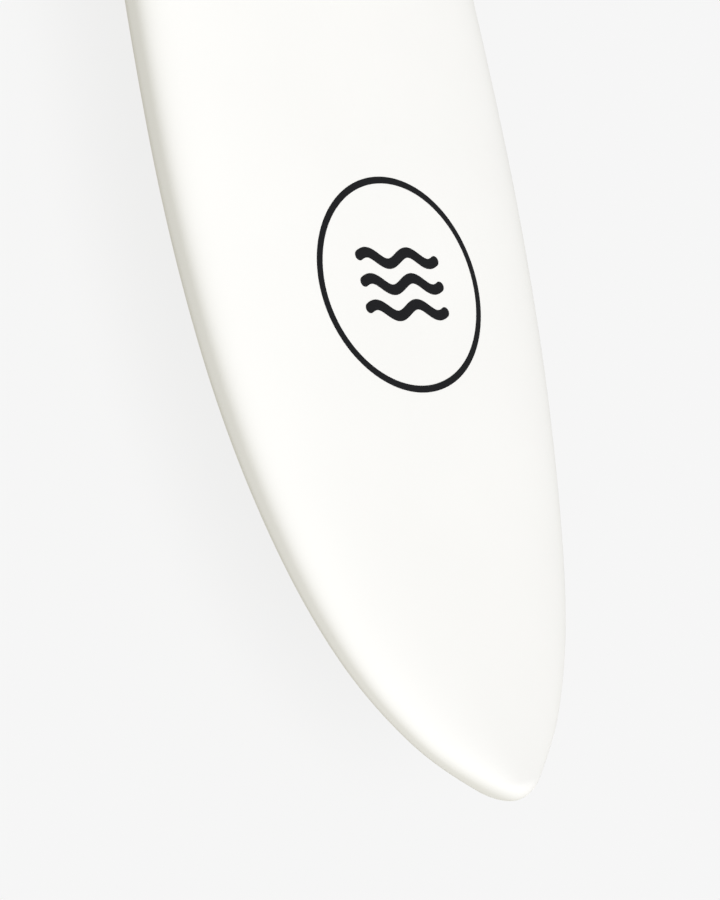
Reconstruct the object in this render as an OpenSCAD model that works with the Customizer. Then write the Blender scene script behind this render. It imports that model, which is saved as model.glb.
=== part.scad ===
// Soft-top surfboard. A foam blank split by one wooden stringer is wrapped in a soft deck skin and a
// slick bottom sheet. It carries a leash plug, a long centre fin box and two side fins.
// The board lies flat with its deck up: +X runs to the nose, +Y to the left rail, and z = 0 is the
// lowest point of the centre fin. Lengths are in millimetres. A station is a distance from the nose.

/* [Board] */
// Length from nose to tail
board_l = 2134; // [1750:1:2700]
// Greatest width
board_w = 572; // [470:1:700]
// Greatest thickness
board_t = 88; // [70:1:110]
// Station of the widest point
wide_at = 816; // [670:1:1000]

/* [Rocker and foil] */
// Rise of the bottom at the nose
nose_rocker = 88; // [40:1:130]
// Length over which the nose rises and thins
nose_run = 1050; // [850:10:1300]
// Rise of the bottom at the tail
tail_rocker = 46; // [20:1:80]
// Length over which the tail rises and thins
tail_run = 1000; // [800:10:1250]
// Thickness just behind the rounded nose
nose_edge_t = 39; // [34:1:65]
// Thickness just ahead of the rounded tail
tail_edge_t = 40; // [34:1:52]
// Length of the rounding of both ends, seen from the side
tip_round = 20; // [16:1:30]

/* [Construction] */
// Thickness of the deck skin and of the backed bottom sheet
skin_t = 5; // [3:0.5:7]
// Thickness of the wooden stringer
stringer_t = 6; // [3:0.5:10]

/* [Deck emblem] */
// Station of the emblem's centre
emblem_at = 618; // [400:1:900]
// Outer radius of the emblem's ring
emblem_r = 133; // [80:1:150]
// Width of the ring's band
emblem_band = 8.5; // [4:0.5:14]
// Thickness of the printed film
film_t = 0.4; // [0.2:0.1:1]

/* [Leash plug] */
// Distance of the plug from the tail
plug_from_tail = 70; // [60:1:78]
// Diameter of the plug's body
plug_d = 30; // [26:0.5:36]
// Diameter of the cup in the plug
cup_d = 22; // [18:0.5:24]
// Depth of the cup
cup_depth = 15; // [11:0.5:18]
// Diameter of the steel bar across the cup
bar_d = 5; // [4:0.5:6]

/* [Centre fin] */
// Length of the centre fin's box
box_l = 270; // [230:1:320]
// Width of the centre fin's box
box_w = 24; // [20:1:30]
// Distance of the box's middle from the tail
box_from_tail = 235; // [220:1:300]
// Width of the slot in the box
slot_w = 10; // [9:0.5:12]
// Depth of the slot
slot_depth = 20; // [16.5:0.1:24]
// Depth of the centre fin
fin_depth = 178; // [120:1:230]
// Length of the centre fin's base
fin_base = 136; // [110:1:160]
// Sweep of the centre fin's leading edge
fin_sweep = 165; // [100:1:190]

/* [Side fins] */
// Distance of the side fins' middle from the tail
side_from_tail = 310; // [270:1:380]
// Distance of the side fins from the rail
side_from_rail = 52; // [44:1:80]
// Depth of each side fin
side_depth = 98; // [70:1:125]
// Length of each side fin's base
side_base = 100; // [80:1:120]
// Sweep of the side fins' leading edge
side_sweep = 92; // [60:1:110]
// Toe-in of the side fins, in degrees
side_toe = 2.5; // [0:0.5:5]
// Outward lean of the side fins from their boxes, in degrees
side_cant = 3; // [0:0.5:8]

/* [Hidden] */

// The outline's shape: shares of the full width at these distances from the nose and the tail.
nose_at = [25, 90, 190, 330, 570];
nose_share = [0.177, 0.417, 0.632, 0.802, 0.955];
tail_at = [30, 100, 305];
tail_share = [0.22, 0.39, 0.61];
// The section's shape: where the rail's edge lies in the thickness, and how full the curves are.
// The deck is rounder at the nose, and reaches its usual fullness after rounder_run.
apex_share = 0.365;
deck_power = 2.63;
nose_power = 2.21;
rounder_run = 500;
bottom_power = 5;
// How quickly rocker and thinning fade away from the ends.
nose_rocker_power = 3.9;
tail_rocker_power = 2.6;
thinning_power = 3.6;

// The surface grid: stations along the board, and columns from the stringer round one rail.
stations = 44;
deck_columns = 12;
bottom_columns = 8;
wrap_columns = 4;
half_columns = deck_columns + bottom_columns;
ring_size = 2 * (half_columns + 1);
first_inner = 2;
first_window = 4;

emblem_steps = 72;
wave_count = 3;
wave_steps = 36;
wave_span = 136;
wave_pitch = 32;
wave_rise = 7;
wave_band = 13;
wave_turns = 2;
film_gap = 0.1;

flange_t = 1.2;
flange_over = 2;
bar_below = 2;
bar_short = 2;
cut_over = 1;
pocket_over = 4;
box_wall = 5;
box_sink = 0.8;
slot_end = 10;
groove_end = 11;
groove_over = 5;
groove_h = 5.4;
groove_under = 7;
tongue_play = 0.3;
tongue_under = 2;
ear_l = 15;
ear_gap = 0.8;
pin_d = 4.8;
pin_in = 16;
plate_l = 12;
plate_t = 3;
screw_d = 4;
screw_head_d = 7;
screw_head_t = 2.2;
screw_under = 4;
head_play = 0.3;
drive_l = 4.4;
drive_w = 1;
drive_depth = 1.2;
running_gap = 0.05;
loose_gap = 0.2;
side_cavity_w = 7;
side_cavity_h = 16;
side_box_wall = 3.5;
side_box_floor = 3;
side_tab_under = 1;
side_nose = 15;
side_wall = 5;
grub_d = 5;
grub_l = 9;
grub_tilt = 45;
grub_ahead = 2;
grub_in = 4.5;
hex_d = 2.8;
hex_depth = 3;
fin_levels = 12;
fin_points = 9;
fin_edge = 0.5;
tip_narrowing = 0.62;
narrowing_power = 0.8;
tip_power = 5;
sweep_power = 1.35;
foil_power = 0.8;
fin_in = 0.3;
side_fin_t = 6;
side_fin_flat = 0.9;
side_fin_in = 1;
small_round = 32;
end_round = 48;
large_round = 64;

core_white = [0.96, 0.96, 0.93];
skin_white = [0.95, 0.95, 0.92];
slick_white = [0.93, 0.94, 0.93];
print_black = [0.13, 0.13, 0.14];
fin_black = [0.10, 0.10, 0.11];
box_black = [0.16, 0.16, 0.17];
wood = [0.72, 0.56, 0.36];
steel = [0.70, 0.71, 0.73];
brass = [0.74, 0.60, 0.30];

// ---- Curves of the board ----

// Slopes of a smooth curve through knots that ends level.
function knot_slopes(u, v) =
    let (
        last = len(u) - 1,
        step = [for (i = [0:last - 1]) u[i + 1] - u[i]],
        rise = [for (i = [0:last - 1]) (v[i + 1] - v[i]) / step[i]],
        inner = [for (i = [1:last - 1])
            (rise[i - 1] * step[i] + rise[i] * step[i - 1]) / (step[i] + step[i - 1])]
    )
    concat([2 * rise[0] - inner[0]], inner, [0]);

function knot_before(u, at, i = 0) =
    (i >= len(u) - 2 || at < u[i + 1]) ? i : knot_before(u, at, i + 1);

function through_knots(u, v, slope, at) =
    let (i = knot_before(u, at), h = u[i + 1] - u[i], k = (at - u[i]) / h)
    (2 * k ^ 3 - 3 * k ^ 2 + 1) * v[i] + (k ^ 3 - 2 * k ^ 2 + k) * h * slope[i]
    + (3 * k ^ 2 - 2 * k ^ 3) * v[i + 1] + (k ^ 3 - k ^ 2) * h * slope[i + 1];

// Both ends are round in plan, so their knots are spaced by the square root of the distance.
nose_u = [for (at = concat([0], nose_at, [wide_at])) sqrt(at)];
nose_v = concat([0], board_w / 2 * nose_share, [board_w / 2]);
nose_slope = knot_slopes(nose_u, nose_v);
tail_u = [for (at = concat([0], tail_at, [board_l - wide_at])) sqrt(at)];
tail_v = concat([0], board_w / 2 * tail_share, [board_w / 2]);
tail_slope = knot_slopes(tail_u, tail_v);

function half_width(s) = s <= wide_at
    ? through_knots(nose_u, nose_v, nose_slope, sqrt(s))
    : through_knots(tail_u, tail_v, tail_slope, sqrt(board_l - s));

function fade(distance, run) = max(0, 1 - distance / run);

function thickness(s) = board_t
    - (board_t - nose_edge_t) * fade(s, nose_run) ^ thinning_power
    - (board_t - tail_edge_t) * fade(board_l - s, tail_run) ^ thinning_power;

function end_rounding(s) = sqrt(1 - fade(min(s, board_l - s), tip_round) ^ 2);

function rocker(s) = nose_rocker * fade(s, nose_run) ^ nose_rocker_power
    + tail_rocker * fade(board_l - s, tail_run) ^ tail_rocker_power;

// Height of the rail's edge above the bottom's lowest plane.
function apex_rise(s) = rocker(s) + apex_share * thickness(s);

// How full the section is at a station, on the deck (side = 1) or the bottom (side = -1).
function fullness(s, side) = side > 0
    ? deck_power - (deck_power - nose_power) * fade(s, rounder_run) ^ 2
    : bottom_power;

// Height of the deck (side = 1) or the bottom (side = -1) above the bottom's lowest plane.
function surface_rise(s, y, inset, side) =
    let (
        power = fullness(s, side),
        share = side > 0 ? 1 - apex_share : apex_share,
        height = share * thickness(s) * end_rounding(s) - inset,
        ratio = min(1, abs(y) / (half_width(s) - inset))
    )
    apex_rise(s) + side * height * (1 - ratio ^ power) ^ (1 / power);

// ---- Frames of what is let into the board ----

function slope_along(s, y, side) = atan(
    (surface_rise(s - 1, y, 0, side) - surface_rise(s + 1, y, 0, side)) / 2);

function slope_across(s, y, side) = atan(
    (surface_rise(s, y + 1, 0, side) - surface_rise(s, y - 1, 0, side)) / 2);

box_at = board_l - box_from_tail;
box_pitch = slope_along(box_at, 0, -1);
box_rise = surface_rise(box_at, 0, 0, -1) + box_sink;
side_at = board_l - side_from_tail;
side_y = half_width(side_at) - side_from_rail;
plug_at = board_l - plug_from_tail;

fin_front = fin_base / 2;
groove_w = slot_w + groove_over;
groove_mid = slot_depth - groove_under;
tongue_w = slot_w - 2 * tongue_play;
ear_x = fin_front + ear_l / 2;
ear_h = groove_mid - groove_h / 2 - ear_gap;
plate_z = groove_mid - groove_h / 2 + running_gap;
side_box_w = side_cavity_w + 2 * side_box_wall;
side_box_depth = side_cavity_h + side_box_floor;

// One level of a fin: depth share v gives its leading edge, chord and thickness.
function fin_chord(v, base) = base * (1 - tip_narrowing * v ^ narrowing_power) * sqrt(1 - v ^ tip_power);
function fin_lead(v, base, sweep) = base / 2 - sweep * v ^ sweep_power;
function fin_level(i) = sin(90 * i / fin_levels);

// The board is lifted until the lowest point of the centre fin is at zero.
fin_drops = [for (i = [0:fin_levels], rear = [0, 1])
    let (v = fin_level(i), x = fin_lead(v, fin_base, fin_sweep) - rear * fin_chord(v, fin_base))
    box_rise + x * sin(box_pitch) - v * fin_depth * cos(box_pitch)];
lift = -min(fin_drops);

function on_board(s, y, rise) = [board_l / 2 - s, y, lift + rise];

// ---- Surface grid ----

function station(k) = board_l * (1 - cos(180 * k / stations)) / 2;

function side_of(j) = j <= deck_columns ? 1 : -1;

function column_y(s, inset, j) =
    let (
        edge = stringer_t / 2,
        angle = side_of(j) > 0 ? 90 * (1 - j / deck_columns) : 90 * (j - deck_columns) / bottom_columns
    )
    edge + (half_width(s) - inset - edge) * cos(angle) ^ (2 / fullness(s, side_of(j)));

// Half a section, from the deck beside the stringer round the left rail to the bottom.
function half_ring(s, inset) =
    [for (j = [0:half_columns])
        let (y = column_y(s, inset, j))
        on_board(s, y, surface_rise(s, y, inset, side_of(j)))];

function backwards(points) = [for (i = [len(points) - 1:-1:0]) points[i]];

function on_right(points) = [for (p = points) [p.x, -p.y, p.z]];

// A whole section, from the deck round the right rail to the bottom and back round the left one.
function full_ring(s, inset) = let (half = half_ring(s, inset)) concat(on_right(half), backwards(half));

// A four-sided face is split along its shorter diagonal, so that pieces which touch are split alike.
function two_triangles(points, a, b, c, d) =
    norm(points[a] - points[c]) <= norm(points[b] - points[d])
        ? [[a, b, c], [a, c, d]]
        : [[b, c, d], [b, d, a]];

function joined(lists) = [for (list = lists, item = list) item];

// ---- Solids from rings ----

// A solid through rings of equal size, each listed so that its normal points back to the first one.
module loft(rings, closed = false) {
    points = joined(rings);
    size = len(rings[0]);
    count = len(rings);
    spans = closed ? count - 1 : count - 2;
    sides = joined([for (i = [0:spans], j = [0:size - 1])
        let (next = (i + 1) % count, beside = (j + 1) % size)
        two_triangles(points, i * size + j, i * size + beside, next * size + beside, next * size + j)]);
    caps = closed ? [] : [
        [for (j = [size - 1:-1:0]) j],
        [for (j = [0:size - 1]) (count - 1) * size + j]
    ];
    polyhedron(points = points, faces = concat(sides, caps));
}

window_from = deck_columns + wrap_columns;
window_to = ring_size - 1 - window_from;

function in_window(k, j) = k >= first_window && k < stations - first_window
    && j >= window_from && j < window_to;

// The deck skin is a closed shell with one window in its bottom, where the bottom sheet lies.
module deck_shell() {
    outer_rings = [for (k = [1:stations - 1]) full_ring(station(k), 0)];
    inner_rings = [for (k = [first_inner:stations - first_inner]) full_ring(station(k), skin_t)];
    nose_tip = on_board(0, 0, apex_rise(0));
    tail_tip = on_board(board_l, 0, apex_rise(board_l));
    points = concat([nose_tip, tail_tip], joined(outer_rings), joined(inner_rings));
    inner_start = 2 + ring_size * len(outer_rings);
    function outer(k, j) = 2 + (k - 1) * ring_size + j % ring_size;
    function inner(k, j) = inner_start + (k - first_inner) * ring_size + j % ring_size;
    columns = [0:ring_size - 1];
    ends = joined([for (j = columns) [
        [0, outer(1, j + 1), outer(1, j)],
        [1, outer(stations - 1, j), outer(stations - 1, j + 1)]
    ]]);
    outside = joined([for (k = [1:stations - 2], j = columns) if (!in_window(k, j))
        two_triangles(points, outer(k, j), outer(k, j + 1), outer(k + 1, j + 1), outer(k + 1, j))]);
    inside = joined([for (k = [first_inner:stations - first_inner - 1], j = columns)
        if (!in_window(k, j))
            two_triangles(points, inner(k, j), inner(k + 1, j), inner(k + 1, j + 1), inner(k, j + 1))]);
    inner_caps = [
        [for (j = columns) inner(first_inner, j)],
        [for (j = columns) inner(stations - first_inner, ring_size - 1 - j)]
    ];
    rim_sides = joined([for (k = [first_window:stations - first_window - 1]) concat(
        two_triangles(points, outer(k, window_from), inner(k, window_from),
            inner(k + 1, window_from), outer(k + 1, window_from)),
        two_triangles(points, outer(k, window_to), outer(k + 1, window_to),
            inner(k + 1, window_to), inner(k, window_to)))]);
    first = first_window;
    last = stations - first_window;
    rim_ends = joined([for (j = [window_from:window_to - 1]) concat(
        two_triangles(points, outer(first, j), outer(first, j + 1), inner(first, j + 1), inner(first, j)),
        two_triangles(points, outer(last, j), inner(last, j), inner(last, j + 1), outer(last, j + 1)))]);
    polyhedron(points = points,
        faces = concat(ends, outside, inside, inner_caps, rim_sides, rim_ends));
}

function window_part(ring) = [for (j = [window_from:window_to]) ring[j]];

module bottom_sheet() {
    loft([for (k = [first_window:stations - first_window])
        let (outer = window_part(full_ring(station(k), 0)),
            inner = window_part(full_ring(station(k), skin_t)))
        concat(outer, backwards(inner))]);
}

module core_half() {
    loft([for (k = [first_inner:stations - first_inner]) backwards(half_ring(station(k), skin_t))]);
}

// The plank's outline is the inner section's height at the plank's faces, along the whole board.
module stringer_plank() {
    rows = [for (k = [first_inner:stations - first_inner]) half_ring(station(k), skin_t)];
    outline = concat([for (row = rows) [row[0].x, row[0].z]],
        backwards([for (row = rows) [row[half_columns].x, row[half_columns].z]]));
    rotate([90, 0, 0]) linear_extrude(stringer_t, center = true) polygon(outline);
}

// ---- Let-in fittings, in frames whose z points into the board ----

// Children stand on the bottom with +x forward and +z up into the board.
module on_bottom(s, y, pitch, roll, yaw, sink) {
    translate(on_board(s, y, surface_rise(s, y, 0, -1) + sink))
        rotate([0, 0, yaw]) rotate([0, -pitch, 0]) rotate([roll, 0, 0]) children();
}

module at_fin_box() {
    on_bottom(box_at, 0, box_pitch, 0, 0, box_sink) children();
}

module at_left_fin() {
    on_bottom(side_at, side_y, slope_along(side_at, side_y, -1), slope_across(side_at, side_y, -1),
        -side_toe, 0) children();
}

// Children hang from the deck at the leash plug, with +z up out of the board.
module at_plug() {
    translate(on_board(plug_at, 0, surface_rise(plug_at, 0, 0, 1)))
        rotate([0, -slope_along(plug_at, 0, 1), 0]) children();
}

// A bar with round ends, lying along x, from z = low to z = high.
module long_bar(length, width, low, high) {
    straight = length - width;
    translate([-straight / 2, -width / 2, low]) cube([straight, width, high - low]);
    for (end = [-1, 1]) translate([end * straight / 2, 0, low])
        cylinder(h = high - low, d = width, $fn = end_round);
}

module fin_box_block(over = 0) {
    long_bar(box_l, box_w, -over, slot_depth + box_wall);
}

module side_box_block(over = 0) {
    front = side_base / 2 + side_nose;
    rear = side_base / 2 + side_wall;
    translate([(front - rear) / 2, 0, 0]) long_bar(front + rear, side_box_w, -over, side_box_depth);
}

plug_h = cup_depth + box_wall;

module plug_block(over = 0) {
    translate([0, 0, -plug_h]) cylinder(h = plug_h + over, d = plug_d, $fn = large_round);
}

module bottom_pockets() {
    at_fin_box() fin_box_block(pocket_over);
    at_left_fin() side_box_block(pocket_over);
    mirror([0, 1, 0]) at_left_fin() side_box_block(pocket_over);
}

module core_pockets() {
    at_fin_box() fin_box_block();
    at_left_fin() side_box_block();
    at_plug() plug_block();
}

// ---- Fins ----

// Half thickness of a fin's section at share p of its chord, from 0 to 1 and back.
function foil_curve(p) = sqrt(p) * (1 - p) ^ foil_power;
function foil_shape(p) = foil_curve(p) / foil_curve(1 / (1 + 2 * foil_power));

function fin_section(v, base, sweep, depth, thick, flat, lean) =
    let (
        chord = fin_chord(v, base),
        lead = fin_lead(v, base, sweep),
        body = thick * chord / base,
        shares = [for (i = [0:fin_points]) (1 - cos(180 * i / fin_points)) / 2],
        outer = [for (p = shares) [lead - p * chord,
            lean * v * depth + fin_edge / 2 + (foil_shape(p) * (1 + flat) - flat) * body / 2]],
        inner = [for (p = shares) [lead - p * chord,
            lean * v * depth - fin_edge / 2 - (foil_shape(p) * (1 - flat) + flat) * body / 2]]
    )
    concat(outer, backwards(inner));

// A fin pointing down from its frame; flat runs from 0, even on both sides, to 1, flat inside.
module fin_foil(base, sweep, depth, thick, flat, lean) {
    root = fin_section(0, base, sweep, depth, thick, flat, lean);
    levels = [for (i = [0:fin_levels - 1]) fin_level(i)];
    size = len(root);
    rings = concat(
        [[for (p = root) [p.x, p.y, cut_over]]],
        [for (v = levels) [for (p = fin_section(v, base, sweep, depth, thick, flat, lean))
            [p.x, p.y, -v * depth]]]);
    last = len(rings) - 1;
    tip = [fin_lead(1, base, sweep), lean * depth, -depth];
    points = concat(joined(rings), [tip]);
    sides = joined([for (i = [0:last - 1], j = [0:size - 1])
        let (beside = (j + 1) % size, next = i + 1)
        two_triangles(points, i * size + j, i * size + beside, next * size + beside, next * size + j)]);
    cap = [[for (j = [size - 1:-1:0]) j]];
    end = [for (j = [0:size - 1]) [last * size + j, last * size + (j + 1) % size, len(rings) * size]];
    polyhedron(points = points, faces = concat(sides, cap, end));
}

// ---- Pieces ----

module deck_skin() {
    color(skin_white) difference() {
        deck_shell();
        at_plug() plug_block(pocket_over);
    }
}

module bottom_skin() {
    color(slick_white) difference() {
        bottom_sheet();
        bottom_pockets();
    }
}

module core_left() {
    color(core_white) difference() {
        core_half();
        core_pockets();
    }
}

module core_right() {
    mirror([0, 1, 0]) core_left();
}

module stringer() {
    color(wood) difference() {
        stringer_plank();
        at_fin_box() fin_box_block();
        at_plug() plug_block();
    }
}

module emblem_ring() {
    color(print_black) loft(closed = true, rings = [for (i = [0:emblem_steps - 1])
        let (angle = 360 * i / emblem_steps)
        [for (corner = [[0, 0], [0, film_t], [-emblem_band, film_t], [-emblem_band, 0]])
            let (
                r = emblem_r + corner[0],
                s = emblem_at - r * cos(angle),
                y = r * sin(angle)
            )
            on_board(s, y, surface_rise(s, y, 0, 1) + film_gap + corner[1])]]);
}

module emblem_waves() {
    color(print_black) for (i = [0:wave_count - 1])
        loft([for (k = [0:wave_steps])
            let (y = wave_span * (k / wave_steps - 0.5),
                middle = emblem_at + (i - (wave_count - 1) / 2) * wave_pitch
                    + wave_rise * sin(360 * wave_turns * k / wave_steps))
            [for (corner = [[-1, 0], [-1, 1], [1, 1], [1, 0]])
                let (s = middle + corner[0] * wave_band / 2)
                on_board(s, y, surface_rise(s, y, 0, 1) + film_gap + corner[1] * film_t)]]);
}

module bar_rod() {
    translate([0, 0, -bar_d / 2 - bar_below]) rotate([90, 0, 0])
        cylinder(h = plug_d - bar_short, d = bar_d, center = true, $fn = small_round);
}

module leash_cup() {
    color(box_black) at_plug() difference() {
        union() {
            plug_block();
            cylinder(h = flange_t, d = plug_d + 2 * flange_over, $fn = large_round);
        }
        translate([0, 0, -cup_depth])
            cylinder(h = cup_depth + flange_t + cut_over, d = cup_d, $fn = large_round);
        bar_rod();
    }
}

module leash_bar() {
    color(steel) at_plug() bar_rod();
}

module fin_box() {
    color(box_black) at_fin_box() difference() {
        fin_box_block();
        long_bar(box_l - 2 * slot_end, slot_w, -cut_over, slot_depth);
        long_bar(box_l - 2 * groove_end, groove_w, groove_mid - groove_h / 2, groove_mid + groove_h / 2);
    }
}

module centre_fin() {
    color(fin_black) at_fin_box() difference() {
        union() {
            fin_foil(fin_base, fin_sweep, fin_depth, tongue_w - 2 * fin_in, 0, 0);
            translate([-fin_base / 2, -tongue_w / 2, 0])
                cube([fin_base, tongue_w, slot_depth - tongue_under]);
            translate([fin_front - cut_over, -tongue_w / 2, 0]) cube([ear_l + cut_over, tongue_w, ear_h]);
        }
        at_pin() cylinder(h = slot_w, r = pin_d / 2 + running_gap, center = true, $fn = small_round);
        translate([ear_x, 0, -cut_over]) {
            cylinder(h = ear_h + 2 * cut_over, r = screw_d / 2 + loose_gap, $fn = small_round);
            cylinder(h = cut_over + screw_head_t + head_play, r = screw_head_d / 2 + loose_gap,
                $fn = small_round);
        }
    }
}

// The pin lies across the tongue's rear end, in the box's groove.
module at_pin() {
    translate([pin_in - fin_base / 2, 0, groove_mid]) rotate([90, 0, 0]) children();
}

module fin_pin() {
    color(brass) at_fin_box() at_pin()
        cylinder(h = groove_w - 2 * tongue_play, d = pin_d, center = true, $fn = small_round);
}

module fin_plate() {
    plate_w = groove_w - 2 * tongue_play;
    color(brass) at_fin_box() difference() {
        translate([ear_x - plate_l / 2, -plate_w / 2, plate_z]) cube([plate_l, plate_w, plate_t]);
        translate([ear_x, 0, plate_z - cut_over])
            cylinder(h = plate_t + 2 * cut_over, r = screw_d / 2 + running_gap, $fn = small_round);
    }
}

module fin_screw() {
    color(steel) at_fin_box() translate([ear_x, 0, 0]) difference() {
        union() {
            cylinder(h = screw_head_t, d = screw_head_d, $fn = small_round);
            cylinder(h = slot_depth - screw_under, d = screw_d, $fn = small_round);
        }
        for (turn = [0, 90]) rotate([0, 0, turn]) translate([-drive_l / 2, -drive_w / 2, -cut_over])
            cube([drive_l, drive_w, cut_over + drive_depth]);
    }
}

// The side fins' clamping screw slopes down and back from the box's front end.
module at_grub_screw() {
    translate([side_base / 2 + side_nose / 2 + grub_ahead, 0, 0]) rotate([0, -grub_tilt, 0]) children();
}

grub_seat = grub_l + grub_in;

module side_box_left() {
    cavity_l = side_base + 2 * loose_gap;
    color(box_black) at_left_fin() difference() {
        side_box_block();
        translate([-cavity_l / 2, -side_cavity_w / 2, -cut_over])
            cube([cavity_l, side_cavity_w, side_cavity_h + cut_over]);
        at_grub_screw() translate([0, 0, -grub_d])
            cylinder(h = grub_seat + grub_d, r = grub_d / 2 + running_gap, $fn = small_round);
    }
}

module side_box_right() {
    mirror([0, 1, 0]) side_box_left();
}

module side_fin_left() {
    tab_w = side_cavity_w - 2 * loose_gap;
    color(fin_black) at_left_fin() difference() {
        union() {
            fin_foil(side_base - 2 * side_fin_in, side_sweep, side_depth, side_fin_t, side_fin_flat,
                tan(side_cant));
            translate([-side_base / 2, -tab_w / 2, 0])
                cube([side_base, tab_w, side_cavity_h - side_tab_under]);
        }
        at_grub_screw() translate([0, 0, loose_gap])
            cylinder(h = grub_seat, r = grub_d / 2 + 2 * loose_gap, $fn = small_round);
    }
}

module side_fin_right() {
    mirror([0, 1, 0]) side_fin_left();
}

module side_screw_left() {
    color(steel) at_left_fin() at_grub_screw() translate([0, 0, grub_seat - grub_l - loose_gap])
        difference() {
            cylinder(h = grub_l, d = grub_d, $fn = small_round);
            translate([0, 0, -cut_over]) cylinder(h = cut_over + hex_depth, d = hex_d, $fn = 6);
        }
}

module side_screw_right() {
    mirror([0, 1, 0]) side_screw_left();
}

deck_skin();
bottom_skin();
core_left();
core_right();
stringer();
emblem_ring();
emblem_waves();
leash_cup();
leash_bar();
fin_box();
centre_fin();
fin_pin();
fin_plate();
fin_screw();
side_box_left();
side_box_right();
side_fin_left();
side_fin_right();
side_screw_left();
side_screw_right();
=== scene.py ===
"""Looks of a soft-top surfboard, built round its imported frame.

The board lies flat with its deck up: +X runs to the nose and +Y to the left rail. Lengths are in metres.
A station is a distance from the nose.
"""

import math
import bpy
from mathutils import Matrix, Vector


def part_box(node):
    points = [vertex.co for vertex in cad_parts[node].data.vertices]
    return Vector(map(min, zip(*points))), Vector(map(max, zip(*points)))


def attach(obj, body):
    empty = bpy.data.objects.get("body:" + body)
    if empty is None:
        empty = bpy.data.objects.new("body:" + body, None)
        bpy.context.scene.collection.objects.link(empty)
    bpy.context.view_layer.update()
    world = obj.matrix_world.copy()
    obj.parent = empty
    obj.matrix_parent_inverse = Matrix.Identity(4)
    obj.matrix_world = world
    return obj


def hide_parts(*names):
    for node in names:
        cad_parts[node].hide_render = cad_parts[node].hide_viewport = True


bl_info = {
    "name": "Soft-top surfboard",
    "version": (1, 0, 0),
    "blender": (4, 5, 0),
    "location": "View3D > Sidebar > Surfboard",
    "description": "Foam skins, print, fins and fittings of a soft-top surfboard",
    "category": "Object",
}

import bmesh
import bpy
import numpy as np
from bpy.props import FloatProperty, FloatVectorProperty, IntProperty, PointerProperty
from mathutils import Matrix, Vector

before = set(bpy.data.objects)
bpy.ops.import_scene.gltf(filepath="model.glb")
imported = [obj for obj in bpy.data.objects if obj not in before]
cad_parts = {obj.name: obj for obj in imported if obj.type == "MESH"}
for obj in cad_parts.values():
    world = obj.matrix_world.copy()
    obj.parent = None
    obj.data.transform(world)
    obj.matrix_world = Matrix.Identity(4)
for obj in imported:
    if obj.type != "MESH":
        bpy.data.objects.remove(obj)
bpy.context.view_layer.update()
DECK_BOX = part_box("deck_skin")
BOTTOM_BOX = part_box("bottom_skin")

MM = 0.001

# The outline's shape: distances from an end, and shares of the full width there.
NOSE_KNOTS = ((25, 0.177), (90, 0.417), (190, 0.632), (330, 0.802), (570, 0.955))
TAIL_KNOTS = ((30, 0.22), (100, 0.39), (305, 0.61))
APEX_SHARE = 0.365
SHEET_SHARE = 0.87
NOSE_ROCKER_POWER = 3.9
TAIL_ROCKER_POWER = 2.6
THINNING_POWER = 3.6


# ---- Sizes and colours a user would change ----


def length_prop(name, description, default):
    return FloatProperty(name=name, description=description, default=default, unit="LENGTH", precision=4)


def colour_prop(name, description, default):
    return FloatVectorProperty(
        name=name, description=description, default=default, size=3, min=0.0, max=1.0, subtype="COLOR"
    )


class BoardSizes(bpy.types.PropertyGroup):
    """Sizes of the board itself."""

    length: length_prop("Length", "Nose to tail", DECK_BOX[1].x - DECK_BOX[0].x)
    width: length_prop("Width", "Greatest width", 572 * MM)
    thickness: length_prop("Thickness", "Greatest thickness", 88 * MM)
    wide_at: length_prop("Wide point", "Station of the widest point", 816 * MM)
    nose_rocker: length_prop("Nose rocker", "Rise of the bottom at the nose", 88 * MM)
    nose_run: length_prop("Nose run", "Length over which the nose rises", 1050 * MM)
    tail_rocker: length_prop("Tail rocker", "Rise of the bottom at the tail", 46 * MM)
    tail_run: length_prop("Tail run", "Length over which the tail rises", 1000 * MM)
    nose_edge: length_prop("Nose edge", "Thickness behind the rounded nose", 39 * MM)
    tail_edge: length_prop("Tail edge", "Thickness ahead of the rounded tail", 40 * MM)
    tip_round: length_prop("End rounding", "Length of the rounding of both ends", 20 * MM)
    deck_fullness: FloatProperty(
        name="Deck fullness", description="How square the deck's section is", default=2.63, min=1.5, max=8
    )
    nose_fullness: FloatProperty(
        name="Nose fullness",
        description="How square the deck's section is at the nose",
        default=2.21,
        min=1.5,
        max=8,
    )
    rounder_run: length_prop("Rounder run", "Length over which the deck's section fills out", 500 * MM)
    bottom_fullness: FloatProperty(
        name="Bottom fullness", description="How square the bottom's section is", default=5, min=1.5, max=8
    )
    skin: length_prop("Skin", "Thickness of the foam skin and the bottom sheet", 5 * MM)
    seam: length_prop("Seam", "Depth of the groove where skin and sheet meet", 0.9 * MM)
    seam_start: length_prop("Seam start", "Distance of the bottom sheet from both ends", 43 * MM)
    seam_curve: length_prop("Seam curve", "Length of the rounding of the bottom sheet's ends", 60 * MM)


class PrintSizes(bpy.types.PropertyGroup):
    """Sizes of the printed emblem."""

    station: length_prop("Station", "Distance of the emblem from the nose", 618 * MM)
    radius: length_prop("Radius", "Outer radius of the ring", 133 * MM)
    band: length_prop("Band", "Width of the ring", 8.5 * MM)
    film: length_prop("Film", "Thickness of the printed film", 0.25 * MM)
    waves: IntProperty(name="Waves", description="Number of wave lines", default=3, min=1, max=6)
    wave_span: length_prop("Wave span", "Length of a wave line across the board", 136 * MM)
    wave_turns: FloatProperty(
        name="Wave turns", description="Waves along one line", default=2, min=0.5, max=6
    )
    wave_pitch: length_prop("Wave pitch", "Distance between wave lines", 32 * MM)
    wave_rise: length_prop("Wave rise", "Height of a wave", 7 * MM)
    wave_band: length_prop("Wave band", "Width of a wave line", 13 * MM)


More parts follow.
